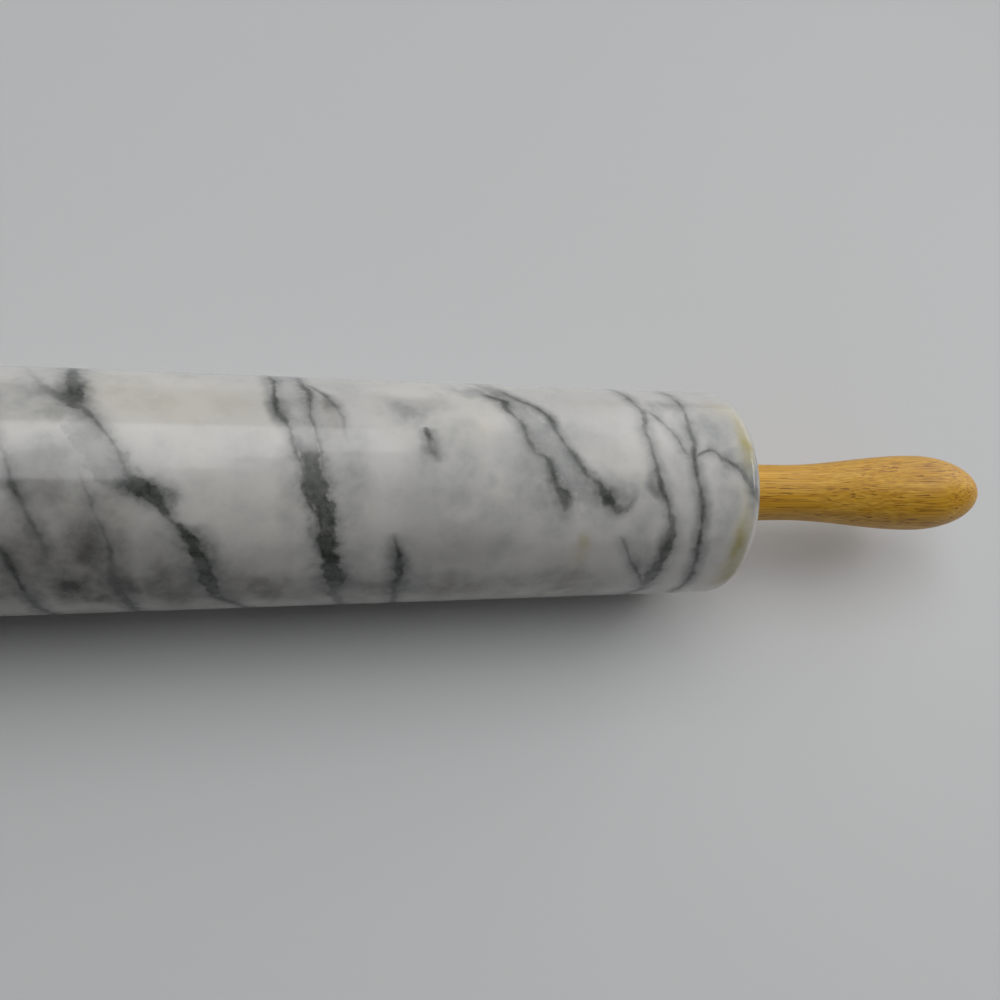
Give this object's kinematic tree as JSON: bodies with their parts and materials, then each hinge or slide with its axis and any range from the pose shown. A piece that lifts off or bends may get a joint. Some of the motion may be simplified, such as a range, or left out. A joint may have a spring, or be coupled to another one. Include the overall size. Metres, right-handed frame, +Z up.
{
  "type": "rolling pin",
  "caption": "Rolling pin with a heavy polished stone barrel turning on a through rod, and turned wooden handles with thin necks and rounded grips.",
  "frame": {"origin": "centre of the barrel, on its axis", "axes": "+X along the pin towards the handle that the picture shows, +Z up, +Y away from the viewer"},
  "size_m": [0.4572, 0.061, 0.061],
  "materials": {
    "marble": "polished",
    "nylon": "satin",
    "steel": "turned",
    "brass": "turned",
    "wood": "varnished"
  },
  "bodies": {
    "handles": {"axle_rod": "steel", "left_washer": "steel", "right_washer": "steel", "left_insert": "brass", "right_insert": "brass", "left_handle": "wood", "right_handle": "wood"},
    "barrel": {"marble_barrel": "marble", "left_bushing": "nylon", "right_bushing": "nylon"}
  },
  "joints": [
    {"name": "barrel_turn", "type": "hinge", "parent": "handles", "child": "barrel", "pos_m": [0, 0, 0], "axis": [1, 0, 0], "continuous": true}
  ]
}
